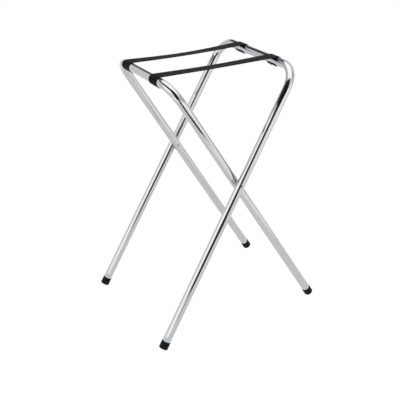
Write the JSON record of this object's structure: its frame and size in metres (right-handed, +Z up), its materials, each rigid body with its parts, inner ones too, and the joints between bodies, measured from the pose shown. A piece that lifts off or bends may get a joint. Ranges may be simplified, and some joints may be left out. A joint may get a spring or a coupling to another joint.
{
  "type": "folding tray stand",
  "caption": "Folding tray stand: bent chrome tube frames cross on rivets, webbing straps between the top bars carry a serving tray.",
  "frame": {"origin": "on the floor, midway between the feet", "axes": "+Z up; +X along the straps, from the inner frame's bar to the outer frame's bar; +Y along the pivot rivets"},
  "size_m": [0.574, 0.4592, 0.7889],
  "materials": {
    "frame_chrome": "bright chrome plate on steel tube",
    "tip_plastic": "dip-moulded black vinyl",
    "rivet_steel": "nickel-plated steel",
    "washer_steel": "zinc-plated steel",
    "spacer_nylon": "natural nylon",
    "strap_webbing": "black woven webbing"
  },
  "bodies": {
    "outer_frame": {"outer_frame_tube": "frame_chrome", "outer_far_foot_tip": "tip_plastic", "outer_near_foot_tip": "tip_plastic", "far_pivot_rivet": "rivet_steel", "near_pivot_rivet": "rivet_steel", "far_pivot_spacer": "spacer_nylon", "near_pivot_spacer": "spacer_nylon", "far_pivot_washer": "washer_steel", "near_pivot_washer": "washer_steel", "far_strap": "strap_webbing", "near_strap": "strap_webbing", "far_strap_outer_rivets": "rivet_steel", "far_strap_outer_washers": "washer_steel", "near_strap_outer_rivets": "rivet_steel", "near_strap_outer_washers": "washer_steel"},
    "inner_frame": {"inner_frame_tube": "frame_chrome", "inner_far_foot_tip": "tip_plastic", "inner_near_foot_tip": "tip_plastic", "far_strap_inner_rivets": "rivet_steel", "far_strap_inner_washers": "washer_steel", "near_strap_inner_rivets": "rivet_steel", "near_strap_inner_washers": "washer_steel"}
  },
  "joints": [
    {"name": "fold", "type": "hinge", "parent": "outer_frame", "child": "inner_frame", "pos_m": [0, 0, 0.46039], "axis": [0, 1, 0], "range_deg": [0, 56], "deforming": ["far_strap", "near_strap"]}
  ]
}
